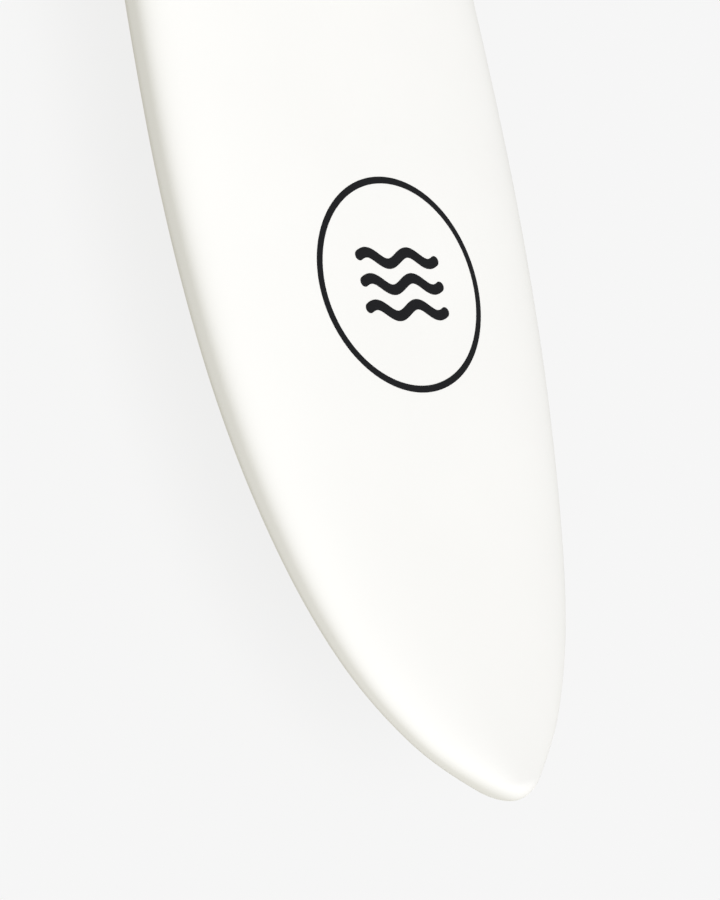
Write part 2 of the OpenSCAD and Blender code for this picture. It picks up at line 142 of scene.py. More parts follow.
class FittingSizes(bpy.types.PropertyGroup):
    """Sizes and places of the fins and of what is let into the board."""

    plug_from_tail: length_prop("Plug place", "Distance of the leash plug from the tail", 70 * MM)
    plug_width: length_prop("Plug width", "Diameter of the leash plug's body", 30 * MM)
    box_from_tail: length_prop("Box place", "Distance of the centre box's middle from the tail", 235 * MM)
    box_length: length_prop("Box length", "Length of the centre fin's box", 270 * MM)
    box_width: length_prop("Box width", "Width of the centre fin's box", 24 * MM)
    box_sink: length_prop("Box sink", "How far the box's face is set in at its middle", 0.8 * MM)
    fin_depth: length_prop("Fin depth", "Depth of the centre fin", 178 * MM)
    fin_base: length_prop("Fin base", "Length of the centre fin's base", 136 * MM)
    fin_sweep: length_prop("Fin sweep", "Sweep of the centre fin's leading edge", 165 * MM)
    fin_thickness: length_prop("Fin thickness", "Thickness of the centre fin's base", 8.8 * MM)
    side_from_tail: length_prop("Side fin place", "Distance of the side fins from the tail", 310 * MM)
    side_from_rail: length_prop("Side fin inset", "Distance of the side fins from the rail", 52 * MM)
    side_depth: length_prop("Side fin depth", "Depth of each side fin", 98 * MM)
    side_base: length_prop("Side fin base", "Length of each side fin's base", 100 * MM)
    side_sweep: length_prop("Side fin sweep", "Sweep of the side fins' leading edge", 92 * MM)
    side_thickness: length_prop("Side fin thickness", "Thickness of a side fin's base", 6 * MM)
    side_box_width: length_prop("Side box width", "Width of a side fin's box", 14 * MM)
    side_toe: FloatProperty(name="Toe-in", description="Toe-in of the side fins", default=2.5, min=0, max=5)
    side_cant: FloatProperty(
        name="Cant", description="Outward lean of the side fins", default=3, min=0, max=8
    )


class Finishes(bpy.types.PropertyGroup):
    """Colours of the finishes."""

    foam: colour_prop("Foam skin", "Deck skin", (0.905, 0.900, 0.878))
    slick: colour_prop("Slick sheet", "Bottom sheet", (0.885, 0.893, 0.925))
    ink: colour_prop("Print", "Printed emblem", (0.0100, 0.0104, 0.0120))
    fin: colour_prop("Fins", "Moulded fins", (0.012, 0.012, 0.013))
    fitting: colour_prop("Fittings", "Leash plug and fin boxes", (0.018, 0.018, 0.019))
    steel: colour_prop("Steel", "Screws and leash bar", (0.74, 0.74, 0.75))
    brass: colour_prop("Brass", "Fin pin and plate", (0.80, 0.60, 0.27))
    beads: colour_prop("Blank", "Foam core", (0.90, 0.90, 0.88))
    wood: colour_prop("Stringer", "Wooden stringer", (0.48, 0.29, 0.13))


class StageSettings(bpy.types.PropertyGroup):
    """Camera, floor and light."""

    eye: FloatVectorProperty(
        name="Eye", description="Place of the camera", default=(0.9311, -1.8092, 1.9575), unit="LENGTH"
    )
    aim: FloatVectorProperty(
        name="Aim",
        description="Point that the camera looks at",
        default=(0.6708, -0.2812, 0.3963),
        unit="LENGTH",
    )
    image_up: FloatVectorProperty(
        name="Up", description="Direction that is up in the picture", default=(-0.9744, 0.0566, 0.2178)
    )
    lens: FloatProperty(name="Lens", description="Focal length on a 36 mm long side", default=85.5)
    floor_size: length_prop("Floor", "Half size of the floor", 60.0)
    floor_colour: colour_prop("Floor colour", "Colour of the pale floor", (0.913, 0.913, 0.913))
    # The floor glows with this colour as painted bounce light. It is a fixed emission, not light the floor
    # reflects.
    bounce_colour: colour_prop("Bounce", "Light that the floor throws back", (0.57, 0.553, 0.46))
    dome: FloatProperty(name="Dome", description="Strength of the soft light from all round", default=0.67)
    key: FloatProperty(name="Key", description="Strength of the key light", default=2.0)
    key_from: FloatVectorProperty(
        name="Key from", description="Direction of the key light", default=(0.43, -0.25, 0.87)
    )


# ---- Curves of the board ----


def knot_slopes(u, v):
    """Slopes of a smooth curve through knots that ends level."""
    step = np.diff(u)
    rise = np.diff(v) / step
    inner = (rise[:-1] * step[1:] + rise[1:] * step[:-1]) / (step[1:] + step[:-1])
    return np.concatenate([[2 * rise[0] - inner[0]], inner, [0]])


class EndCurve:
    """Half width near one end, over the square root of the distance from it."""

    def __init__(self, knots, width, reach):
        at = [0] + [distance * MM for distance, _ in knots] + [reach]
        self.u = np.sqrt(np.array(at))
        self.v = np.array([0] + [share for _, share in knots] + [1]) * width / 2
        self.slope = knot_slopes(self.u, self.v)

    def __call__(self, distance):
        root = np.sqrt(np.maximum(distance, 0))
        i = np.clip(np.searchsorted(self.u, root, side="right") - 1, 0, len(self.u) - 2)
        h = self.u[i + 1] - self.u[i]
        k = (root - self.u[i]) / h
        return (
            (2 * k**3 - 3 * k**2 + 1) * self.v[i]
            + (k**3 - 2 * k**2 + k) * h * self.slope[i]
            + (3 * k**2 - 2 * k**3) * self.v[i + 1]
            + (k**3 - k**2) * h * self.slope[i + 1]
        )


class BoardCurves:
    """The board's outline, rocker and thickness over the station, in the row frame."""

    def __init__(self, sizes):
        self.sizes = sizes
        self.length = sizes.length
        self.nose_x = DECK_BOX[1].x
        self.base_z = BOTTOM_BOX[0].z
        self.nose = EndCurve(NOSE_KNOTS, sizes.width, sizes.wide_at)
        self.tail = EndCurve(TAIL_KNOTS, sizes.width, sizes.length - sizes.wide_at)

    def fade(self, distance, run):
        return np.maximum(0, 1 - distance / run)

    def half_width(self, s):
        s = np.asarray(s, float)
        front = self.nose(np.minimum(s, self.sizes.wide_at))
        back = self.tail(np.minimum(self.length - s, self.length - self.sizes.wide_at))
        return np.where(s <= self.sizes.wide_at, front, back)

    def thickness(self, s):
        b = self.sizes
        return (
            b.thickness
            - (b.thickness - b.nose_edge) * self.fade(s, b.nose_run) ** THINNING_POWER
            - (b.thickness - b.tail_edge) * self.fade(self.length - s, b.tail_run) ** THINNING_POWER
        )

    def end_rounding(self, s):
        nearest = np.minimum(s, self.length - s)
        return np.sqrt(1 - self.fade(nearest, self.sizes.tip_round) ** 2)

    def rocker(self, s):
        b = self.sizes
        return (
            b.nose_rocker * self.fade(s, b.nose_run) ** NOSE_ROCKER_POWER
            + b.tail_rocker * self.fade(self.length - s, b.tail_run) ** TAIL_ROCKER_POWER
        )

    def apex_z(self, s):
        return self.base_z + self.rocker(s) + APEX_SHARE * self.thickness(s)

    def height(self, s, side):
        share = 1 - APEX_SHARE if side > 0 else APEX_SHARE
        return share * self.thickness(s) * self.end_rounding(s)

    def nose_share(self, s):
        """How much of the nose's rounder section a station has."""
        return self.fade(s, self.sizes.rounder_run) ** 2

    def fullness(self, s, side):
        b = self.sizes
        if side < 0:
            return b.bottom_fullness
        return b.deck_fullness - (b.deck_fullness - b.nose_fullness) * self.nose_share(s)

    def surface_z(self, s, y, side):
        power = self.fullness(s, side)
        ratio = np.clip(np.abs(y) / self.half_width(s), 0, 1)
        return self.apex_z(s) + side * self.height(s, side) * (1 - ratio**power) ** (1 / power)

    def point(self, s, y, side):
        return Vector((self.nose_x - s, y, float(self.surface_z(s, y, side))))

    def slope_along(self, s, y, side):
        ahead, behind = self.surface_z(s - MM, y, side), self.surface_z(s + MM, y, side)
        return math.atan((ahead - behind) / (2 * MM))

    def slope_across(self, s, y, side):
        left, right = self.surface_z(s, y + MM, side), self.surface_z(s, y - MM, side)
        return math.atan((left - right) / (2 * MM))


def curves():
    return BoardCurves(bpy.context.scene.board_sizes)


def plug_frame():
    """Frame of the leash plug: z points out of the deck."""
    board, sizes = curves(), bpy.context.scene.fitting_sizes
    at = board.length - sizes.plug_from_tail
    tilt = Matrix.Rotation(-board.slope_along(at, 0, 1), 4, "Y")
    return Matrix.Translation(board.point(at, 0, 1)) @ tilt


def box_frame():
    """Frame of the centre fin's box: z points into the board."""
    board, sizes = curves(), bpy.context.scene.fitting_sizes
    at = board.length - sizes.box_from_tail
    place = board.point(at, 0, -1) + Vector((0, 0, sizes.box_sink))
    return Matrix.Translation(place) @ Matrix.Rotation(-board.slope_along(at, 0, -1), 4, "Y")


def side_frame():
    """Frame of the left side fin's box: z points into the board."""
    board, sizes = curves(), bpy.context.scene.fitting_sizes
    at = board.length - sizes.side_from_tail
    y = float(board.half_width(at)) - sizes.side_from_rail
    return (
        Matrix.Translation(board.point(at, y, -1))
        @ Matrix.Rotation(-math.radians(sizes.side_toe), 4, "Z")
        @ Matrix.Rotation(-board.slope_along(at, y, -1), 4, "Y")
        @ Matrix.Rotation(board.slope_across(at, y, -1), 4, "X")
    )


MIRROR_Y = Matrix.Scale(-1, 4, (0, 1, 0))


# ---- Mesh helpers ----


def new_piece(name, mesh):
    piece = bpy.data.objects.new(name, mesh)
    bpy.context.scene.collection.objects.link(piece)
    return piece


def mesh_from(name, points, faces):
    mesh = bpy.data.meshes.new(name)
    mesh.from_pydata([tuple(p) for p in points], [], faces)
    mesh.update()
    return mesh


def settle(piece):
    """Turns a piece's modifiers into its plain mesh."""
    evaluated = piece.evaluated_get(bpy.context.evaluated_depsgraph_get())
    mesh = bpy.data.meshes.new_from_object(evaluated)
    piece.modifiers.clear()
    old = piece.data
    piece.data = mesh
    if old.users == 0:
        bpy.data.meshes.remove(old)
    mesh.name = piece.name
    return piece


def weld(mesh, distance=1e-6):
    work = bmesh.new()
    work.from_mesh(mesh)
    bmesh.ops.remove_doubles(work, verts=work.verts, dist=distance)
    bmesh.ops.recalc_face_normals(work, faces=work.faces)
    work.to_mesh(mesh)
    work.free()


def set_attribute(mesh, name, values):
    attribute = mesh.attributes.new(name, "FLOAT", "POINT")
    attribute.data.foreach_set("value", np.asarray(values, np.float32))


def smooth(piece, angle=None):
    """Smooth shading, with edges sharper than an angle in degrees kept."""
    piece.data.shade_smooth()
    if angle is not None:
        piece.data.set_sharp_from_angle(angle=math.radians(angle))
    return piece


def add_modifier(piece, name, kind, **settings):
    modifier = piece.modifiers.new(name, kind)
    for key, value in settings.items():
        setattr(modifier, key, value)
    return modifier


def cut(piece, cutter):
    """Takes a cutter out of a piece, and removes the cutter."""
    add_modifier(piece, "Pocket", "BOOLEAN", operation="DIFFERENCE", solver="EXACT", object=cutter)
    settle(piece)
    bpy.data.objects.remove(cutter)
    return piece


def long_bar(name, length, width, low, high, place, steps=24):
    """A bar with round ends along x, from z = low to z = high, in a frame."""
    straight = (length - width) / 2
    outline = []
    for end in (1, -1):
        for i in range(steps + 1):
            angle = math.pi * (i / steps - 0.5)
            x = straight + width / 2 * math.cos(angle)
            y = width / 2 * math.sin(angle)
            outline.append((end * x, end * y))
    count = len(outline)
    points = [place @ Vector((x, y, z)) for z in (low, high) for x, y in outline]
    faces = [list(range(count - 1, -1, -1)), list(range(count, 2 * count))]
    faces += [(i, (i + 1) % count, count + (i + 1) % count, count + i) for i in range(count)]
    mesh = mesh_from(name, points, faces)
    weld(mesh)
    return new_piece(name, mesh)


# ---- Geometry Nodes ----


class Tree:
    """A geometry node tree with named inputs."""

    def __init__(self, name, inputs):
        self.tree = bpy.data.node_groups.new(name, "GeometryNodeTree")
        face = self.tree.interface
        face.new_socket("Geometry", in_out="INPUT", socket_type="NodeSocketGeometry")
        for label, kind, value in inputs:
            socket = face.new_socket(label, in_out="INPUT", socket_type=kind)
            if value is not None:
                socket.default_value = value
        face.new_socket("Geometry", in_out="OUTPUT", socket_type="NodeSocketGeometry")
        self.start = self.node("NodeGroupInput")
        self.end = self.node("NodeGroupOutput")

    def node(self, kind, inputs=None, **settings):
        made = self.tree.nodes.new(kind)
        for key, value in settings.items():
            setattr(made, key, value)
        for key, value in (inputs or {}).items():
            self.feed(made.inputs[key], value)
        return made

    def feed(self, socket, value):
        if isinstance(value, bpy.types.NodeSocket):
            self.tree.links.new(value, socket)
        else:
            socket.default_value = value

    def input(self, label):
        return self.start.outputs[label]

    def math(self, operation, a, b=0.0):
        return self.node("ShaderNodeMath", {0: a, 1: b}, operation=operation).outputs[0]

    def attribute(self, name):
        named = self.node("GeometryNodeInputNamedAttribute", {"Name": name}, data_type="FLOAT")
        return named.outputs["Attribute"]

    def close(self, geometry):
        """Ends the tree in Realize Instances and Set Material."""
        real = self.node("GeometryNodeRealizeInstances", {"Geometry": geometry})
        painted = self.node(
            "GeometryNodeSetMaterial", {"Geometry": real.outputs[0], "Material": self.input("Material")}
        )
        self.tree.links.new(painted.outputs[0], self.end.inputs[0])
        return self.tree


def run_tree(piece, tree, values):
    """Runs a tree on a piece with its inputs set by socket identifier, and keeps the result as a mesh."""
    modifier = piece.modifiers.new(tree.name, "NODES")
    modifier.node_group = tree
    for item in tree.interface.items_tree:
        if item.item_type == "SOCKET" and item.in_out == "INPUT" and item.name in values:
            modifier[item.identifier] = values[item.name]
    return settle(piece)


def section_tree():
    """Places every vertex on the board's section from its station's sizes and its turn round the rail."""
    made = Tree(
        "Board section",
        [
            ("Deck Fullness", "NodeSocketFloat", 2.63),
            ("Nose Fullness", "NodeSocketFloat", 2.21),
            ("Bottom Fullness", "NodeSocketFloat", 5.0),
            ("Material", "NodeSocketMaterial", None),
        ],
    )
    turn, inset = made.attribute("turn"), made.attribute("inset")
    cosine, sine = made.math("COSINE", turn), made.math("SINE", turn)
    above = made.math("GREATER_THAN", sine, 0.0)
    pick = {"data_type": "FLOAT"}
    deck_power = made.node(
        "ShaderNodeMix",
        {
            "Factor": made.attribute("nose_share"),
            "A": made.input("Deck Fullness"),
            "B": made.input("Nose Fullness"),
        },
        **pick,
    ).outputs["Result"]
    power = made.node(
        "ShaderNodeMix",
        {"Factor": above, "A": made.input("Bottom Fullness"), "B": deck_power},
        **pick,
    ).outputs["Result"]
    height = made.node(
        "ShaderNodeMix",
        {"Factor": above, "A": made.attribute("bottom_height"), "B": made.attribute("deck_height")},
        **pick,
    ).outputs["Result"]
    across = made.math("POWER", made.math("ABSOLUTE", cosine), power)
    upward = made.math("POWER", made.math("ABSOLUTE", sine), power)
    radius = made.math("POWER", made.math("ADD", across, upward), made.math("DIVIDE", -1.0, power))
    width = made.math("MAXIMUM", made.math("SUBTRACT", made.attribute("half_width"), inset), 0.0)
    tall = made.math("MAXIMUM", made.math("SUBTRACT", height, inset), 0.0)
    y = made.math("MULTIPLY", made.math("MULTIPLY", width, cosine), radius)
    z = made.math("MULTIPLY", made.math("MULTIPLY", tall, sine), radius)
    place = made.node(
        "ShaderNodeCombineXYZ",
        {"X": made.attribute("along"), "Y": y, "Z": made.math("ADD", made.attribute("apex"), z)},
    ).outputs[0]
    moved = made.node("GeometryNodeSetPosition", {"Geometry": made.input("Geometry"), "Position": place})
    return made.close(moved.outputs[0])


def lay_tree():
    """Drops flat art straight down on the deck, and lifts it by the thickness of a printed film."""
    made = Tree(
        "Lay on deck",
        [
            ("Deck", "NodeSocketObject", None),
            ("Film", "NodeSocketFloat", 0.00025),
            ("Material", "NodeSocketMaterial", None),
        ],
    )
    deck = made.node("GeometryNodeObjectInfo", {"Object": made.input("Deck")}, transform_space="RELATIVE")
    ray = made.node(
        "GeometryNodeRaycast",
        {"Target Geometry": deck.outputs["Geometry"], "Ray Direction": (0.0, 0.0, -1.0), "Ray Length": 2.0},
    )
    lifted = made.node("ShaderNodeCombineXYZ", {"Z": made.input("Film")}).outputs[0]
    place = made.node(
        "ShaderNodeVectorMath", {0: ray.outputs["Hit Position"], 1: lifted}, operation="ADD"
    ).outputs[0]
    moved = made.node(
        "GeometryNodeSetPosition",
        {"Geometry": made.input("Geometry"), "Selection": ray.outputs["Is Hit"], "Position": place},
    )
    return made.close(moved.outputs[0])


# ---- Materials ----


class Finish:
    """A procedural material on object coordinates."""

    def __init__(self, name, colour, roughness, **sockets):
        self.material = bpy.data.materials.new(name)
        self.material.use_nodes = True
        self.nodes = self.material.node_tree.nodes
        self.links = self.material.node_tree.links
        self.shader = self.nodes["Principled BSDF"]
        self.shader.inputs["Base Color"].default_value = (*colour, 1)
        self.shader.inputs["Roughness"].default_value = roughness
        for label, value in sockets.items():
            self.shader.inputs[label.replace("_", " ")].default_value = value
        self.place = self.nodes.new("ShaderNodeTexCoord").outputs["Object"]
        self.material.diffuse_color = (*colour, 1)

    def stretched(self, scale, turn=(0, 0, 0)):
        mapping = self.nodes.new("ShaderNodeMapping")
        mapping.inputs["Scale"].default_value = scale
        mapping.inputs["Rotation"].default_value = turn
        self.links.new(self.place, mapping.inputs["Vector"])
        return mapping.outputs[0]

    def noise(self, scale, detail=3, roughness=0.5, distortion=0.0, along=None):
        made = self.nodes.new("ShaderNodeTexNoise")
        made.inputs["Scale"].default_value = scale
        made.inputs["Detail"].default_value = detail
        made.inputs["Roughness"].default_value = roughness
        made.inputs["Distortion"].default_value = distortion
        self.links.new(along or self.place, made.inputs["Vector"])
        return made.outputs["Fac"]

    def cells(self, scale, feature="F1", along=None):
        made = self.nodes.new("ShaderNodeTexVoronoi")
        made.feature = feature
        made.inputs["Scale"].default_value = scale
        self.links.new(along or self.place, made.inputs["Vector"])
        return made.outputs["Distance"]

    def ramp(self, factor, stops):
        made = self.nodes.new("ShaderNodeValToRGB")
        band = made.color_ramp
        while len(band.elements) < len(stops):
            band.elements.new(0.5)
        for element, (position, colour) in zip(band.elements, stops):
            element.position = position
            element.color = (*colour, 1)
        self.links.new(factor, made.inputs["Fac"])
        return made.outputs["Color"]

    def spread(self, factor, low, high):
        made = self.nodes.new("ShaderNodeMapRange")
        made.inputs["From Min"].default_value = 0.3
        made.inputs["From Max"].default_value = 0.7
        made.inputs["To Min"].default_value = low
        made.inputs["To Max"].default_value = high
        self.links.new(factor, made.inputs["Value"])
        return made.outputs["Result"]

    def bump(self, height, strength, distance, under=None):
        made = self.nodes.new("ShaderNodeBump")
        made.inputs["Strength"].default_value = strength
        made.inputs["Distance"].default_value = distance
        self.links.new(height, made.inputs["Height"])
        if under is not None:
            self.links.new(under, made.inputs["Normal"])
        return made.outputs["Normal"]

    def to(self, label, output):
        self.links.new(output, self.shader.inputs[label])
        return self


def shade(colour, factor):
    return tuple(max(0.0, min(1.0, channel * factor)) for channel in colour)


def foam_finish(colours):
    """Closed-cell foam skin: a fine pebble over very soft unevenness, matte with a faint sheen."""
    made = Finish("foam skin", colours.foam, 0.62, Specular_IOR_Level=0.35)
    tone = made.noise(5.0, detail=2)
    made.to("Base Color", made.ramp(tone, [(0.3, shade(colours.foam, 0.985)), (0.7, colours.foam)]))
    made.to("Roughness", made.spread(made.noise(40.0), 0.58, 0.68))
    pebble = made.bump(made.cells(620.0), 0.18, 0.0002)
    made.to("Normal", made.bump(made.noise(5.0, detail=1), 0.08, 0.0012, under=pebble))
    return made.material


def slick_finish(colours):
    """Slick bottom sheet: glossy, with a fine orange peel and a very slow waviness."""
    made = Finish("slick sheet", colours.slick, 0.29, Specular_IOR_Level=0.5)
    tone = made.noise(6.0, detail=2)
    made.to("Base Color", made.ramp(tone, [(0.3, shade(colours.slick, 0.975)), (0.7, colours.slick)]))
    made.to("Roughness", made.spread(made.noise(9.0, detail=2), 0.27, 0.31))
    peel = made.bump(made.noise(420.0, detail=2), 0.06, 0.0001)
    made.to("Normal", made.bump(made.noise(6.0, detail=1), 0.06, 0.0015, under=peel))
    return made.material


def ink_finish(colours):
    """Printed film: near black, with the fine speckle of ink on foam."""
    made = Finish("printed ink", colours.ink, 0.55, Specular_IOR_Level=0.12)
    speckle = made.noise(1500.0, detail=2, roughness=0.7)
    tones = [(0.35, shade(colours.ink, 0.6)), (0.60, colours.ink), (0.75, shade(colours.ink, 3.0))]
    made.to("Base Color", made.ramp(speckle, tones))
    made.to("Roughness", made.spread(speckle, 0.48, 0.66))
    made.to("Normal", made.bump(made.cells(620.0), 0.15, 0.0002))
    return made.material


def fin_finish(colours):
    """Moulded fin: satin, with a fine mould texture and drifting flow marks."""
    made = Finish("fin plastic", colours.fin, 0.38, Specular_IOR_Level=0.5)
    flow = made.noise(7.0, detail=2, distortion=0.4)
    made.to("Base Color", made.ramp(flow, [(0.3, shade(colours.fin, 0.92)), (0.7, shade(colours.fin, 1.12))]))
    made.to("Roughness", made.spread(made.noise(40.0), 0.37, 0.42))
    made.to("Normal", made.bump(made.noise(900.0, detail=2), 0.08, 0.0001))
    return made.material


def fitting_finish(colours):
    """Glass-filled plastic of plug and boxes: matte and finely sparked."""
    made = Finish("fitting plastic", colours.fitting, 0.52, Specular_IOR_Level=0.45)
    grain = made.noise(1200.0, detail=2)
    tones = [(0.3, shade(colours.fitting, 0.75)), (0.7, shade(colours.fitting, 1.5))]
    made.to("Base Color", made.ramp(grain, tones))
    made.to("Roughness", made.spread(made.noise(200.0), 0.45, 0.60))
    made.to("Normal", made.bump(grain, 0.25, 0.0001))
    return made.material


def metal_finish(name, colour, roughness):
    """Turned metal with fine tool marks."""
    made = Finish(name, colour, roughness, Metallic=1.0)
    marks = made.noise(700.0, detail=3, along=made.stretched((1, 1, 7)))
    made.to("Roughness", made.spread(marks, roughness * 0.85, roughness * 1.2))
    made.to("Base Color", made.ramp(marks, [(0.3, shade(colour, 0.93)), (0.7, colour)]))
    made.to("Normal", made.bump(marks, 0.05, 0.00002))
    return made.material


def bead_finish(colours):
    """Beaded foam of the blank."""
    made = Finish("beaded foam", colours.beads, 0.8)
    beads = made.cells(260.0)
    made.to("Base Color", made.ramp(beads, [(0.2, colours.beads), (0.6, shade(colours.beads, 0.9))]))
    made.to("Normal", made.bump(beads, 0.6, 0.0006))
    return made.material


def wood_finish(colours):
    """Stringer wood with its grain along the board."""
    made = Finish("stringer wood", colours.wood, 0.6)
    grain = made.noise(90.0, detail=6, distortion=0.6, along=made.stretched((0.05, 1, 1)))
    tones = [(0.3, shade(colours.wood, 0.6)), (0.7, shade(colours.wood, 1.2))]
    made.to("Base Color", made.ramp(grain, tones))
    made.to("Normal", made.bump(grain, 0.2, 0.0002))
    return made.material


def finish_for(slot):
    """The material of a slot, made once."""
    colours = bpy.context.scene.finishes
    makers = {
        "deck_foam": lambda: foam_finish(colours),
        "bottom_slick": lambda: slick_finish(colours),
        "print_ink": lambda: ink_finish(colours),
        "fin_plastic": lambda: fin_finish(colours),
        "fitting_plastic": lambda: fitting_finish(colours),
        "stainless": lambda: metal_finish("stainless steel", colours.steel, 0.24),
        "brass_parts": lambda: metal_finish("turned brass", colours.brass, 0.30),
        "foam_core": lambda: bead_finish(colours),
        "stringer_wood": lambda: wood_finish(colours),
    }
    label = "slot " + slot
    if label not in bpy.data.materials:
        made = makers[slot]()
        made.name = label
    return bpy.data.materials[label]


def dress(piece, slot):
    """Gives a piece the one material of its slot."""
    piece.data.materials.clear()
    piece.data.materials.append(finish_for(slot))
    return piece


def dress_cad(node, slot):
    """Gives a carried CAD node its material."""
    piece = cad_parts[node]
    for socket in piece.material_slots:
        socket.material = finish_for(slot)
    return piece


# ---- Skins ----


def end_spaced(length, count):
    """Stations that crowd towards both ends."""
    return length * (1 - np.cos(np.linspace(0, math.pi, count))) / 2


ROWS = 221
SEAM_END_ROWS = 15


def board_rows(board):
    """Stations of the skins' rows: closest at both ends and where the bottom sheet starts."""
    b = board.sizes
    start = b.seam_start + b.seam_curve * (1 - np.cos(np.linspace(0, math.pi / 2, SEAM_END_ROWS)))
    spread = end_spaced(b.length, ROWS)
    nearest = np.minimum(spread, b.length - spread)
    spread = spread[(nearest < start[0]) | (nearest > start[-1])]
    return np.unique(np.concatenate([spread, start, b.length - start]))


def seam_half(board, s):
    """Half width of the bottom sheet, with round ends."""
    b = board.sizes
    inside = np.clip((np.minimum(s, b.length - s) - b.seam_start) / b.seam_curve, 0, 1)
    return SHEET_SHARE * board.half_width(s) * np.sqrt(1 - (1 - inside) ** 2)


def turn_at(board, s, y):
    """Turn round the rail, from 0 at its edge to -90 degrees under the middle, of a point of the bottom."""
    ratio = np.clip(y / np.maximum(board.half_width(s), 1e-9), 0, 1)
    power = board.sizes.bottom_fullness
    return -np.arctan2((1 - ratio**power) ** (1 / power), ratio)


SECTION_ATTRIBUTES = (
    "along",
    "half_width",
    "deck_height",
    "bottom_height",
    "apex",
    "nose_share",
    "turn",
    "inset",
)


def section_mesh(name, board, rows, turns, insets):
    """A grid of rows by turns, with what the section tree reads stored on its vertices."""
    count = turns.shape[1]
    faces = [
        (i * count + j, i * count + j + 1, (i + 1) * count + j + 1, (i + 1) * count + j)
        for i in range(len(rows) - 1)
        for j in range(count - 1)
    ]
    mesh = mesh_from(name, np.zeros((len(rows) * count, 3)), faces)
    stored = {
        "along": board.nose_x - rows,
        "half_width": board.half_width(rows),
        "deck_height": board.height(rows, 1),
        "bottom_height": board.height(rows, -1),
        "apex": board.apex_z(rows),
        "nose_share": board.nose_share(rows),
    }
    for label, values in stored.items():
        set_attribute(mesh, label, np.repeat(values, count))
    set_attribute(mesh, "turn", turns.ravel())
    set_attribute(mesh, "inset", insets.ravel())
    return mesh


def skin_piece(name, board, rows, turns, insets, slot):
    """One skin: its outer face by the section tree, then its wall."""
    piece = new_piece(name, section_mesh(name, board, rows, turns, insets))
    run_tree(
        piece,
        section_tree(),
        {
            "Deck Fullness": board.sizes.deck_fullness,
            "Nose Fullness": board.sizes.nose_fullness,
            "Bottom Fullness": board.sizes.bottom_fullness,
            "Material": finish_for(slot),
        },
    )
    for label in SECTION_ATTRIBUTES:
        piece.data.attributes.remove(piece.data.attributes[label])
    weld(piece.data, 1e-5)
    add_modifier(piece, "Wall", "SOLIDIFY", thickness=board.sizes.skin, offset=-1, use_rim=True)
    return settle(piece)


# How far a pocket's cutter reaches below and above its frame, whose z points out of the deck or into
# the bottom. The round plug's cutter keeps a hair of straight side between its two half circles.
DECK_POCKET = (-30 * MM, 10 * MM)
BOTTOM_POCKET = (-10 * MM, 30 * MM)
PLUG_STRAIGHT = 0.01 * MM

# Edges sharper than this many degrees stay sharp.
SKIN_SHARP = 40
PART_SHARP = 35

SIDE_BOX_FRONT = 15 * MM
SIDE_BOX_REAR = 5 * MM


def lip_insets(turns, depth):
    """The edge of a skin is rounded down into the seam."""
    insets = np.zeros_like(turns)
    insets[:, 0] = insets[:, -1] = depth
    insets[:, 1] = insets[:, -2] = depth * 0.3
    return insets


def deck_skin():
    board = curves()
    rows = board_rows(board)
    seam = turn_at(board, rows, seam_half(board, rows))
    share = np.concatenate([[0, 0.004, 0.010], np.linspace(0.02, 0.98, 150), [0.990, 0.996, 1]])
    turns = seam[:, None] + (math.pi - 2 * seam[:, None]) * share[None, :]
    open_row = (seam_half(board, rows) > 1e-6)[:, None]
    insets = lip_insets(turns, board.sizes.seam) * open_row
    piece = skin_piece("deck_skin_foam", board, rows, turns, insets, "deck_foam")
    sizes = bpy.context.scene.fitting_sizes
    plug_length = sizes.plug_width + PLUG_STRAIGHT
    cut(piece, long_bar("plug_cutter", plug_length, sizes.plug_width, *DECK_POCKET, plug_frame()))
    smooth(piece, SKIN_SHARP)
    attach(dress(piece, "deck_foam"), "board")
    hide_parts("deck_skin")


def bottom_skin():
    board = curves()
    rows = board_rows(board)
    rows = rows[np.minimum(rows, board.length - rows) > board.sizes.seam_start - 1e-6]
    seam = turn_at(board, rows, seam_half(board, rows))
    share = np.concatenate([[0, 0.006, 0.014], np.linspace(0.03, 0.97, 61), [0.986, 0.994, 1]])
    turns = seam[:, None] + (-math.pi - 2 * seam[:, None]) * share[None, :]
    piece = skin_piece(
        "bottom_skin_slick", board, rows, turns, lip_insets(turns, board.sizes.seam), "bottom_slick"
    )
    sizes = bpy.context.scene.fitting_sizes
    cut(piece, long_bar("box_cutter", sizes.box_length, sizes.box_width, *BOTTOM_POCKET, box_frame()))
    side_length, side_middle = side_box_span(sizes)
    for mirror in (Matrix.Identity(4), MIRROR_Y):
        place = mirror @ side_frame() @ Matrix.Translation((side_middle, 0, 0))
        cut(piece, long_bar("side_cutter", side_length, sizes.side_box_width, *BOTTOM_POCKET, place))
    smooth(piece, SKIN_SHARP)
    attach(dress(piece, "bottom_slick"), "board")
    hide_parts("bottom_skin")


def side_box_span(sizes):
    """Length of a side fin's box, and its middle ahead of the fin's middle."""
    return sizes.side_base + SIDE_BOX_FRONT + SIDE_BOX_REAR, (SIDE_BOX_FRONT - SIDE_BOX_REAR) / 2


# ---- Print ----

# The flat art starts this far above the bottom, and is dropped on the deck from there.
DROP = 1.0
# The film's thickness is this many times its height above the deck, so that it has no gap beneath it.
FILM_REACH = 1.5


def flat_band(name, board, centre, half, steps):
    """A flat band over the deck along a line of (x, y) points with a half width at each of them."""
    centre, half = np.asarray(centre), np.asarray(half)
    direction = np.gradient(centre, axis=0)
    direction /= np.linalg.norm(direction, axis=1)[:, None]
    normal = np.stack([-direction[:, 1], direction[:, 0]], 1)
    across = np.linspace(-1, 1, steps)
    places = centre[:, None] + normal[:, None] * (half[:, None, None] * across[None, :, None])
    above = board.base_z + DROP
    points = [(x, y, above) for x, y in places.reshape(-1, 2)]
    faces = [
        (i * steps + j, i * steps + j + 1, (i + 1) * steps + j + 1, (i + 1) * steps + j)
        for i in range(len(centre) - 1)
        for j in range(steps - 1)
    ]
    return mesh_from(name, points, faces)


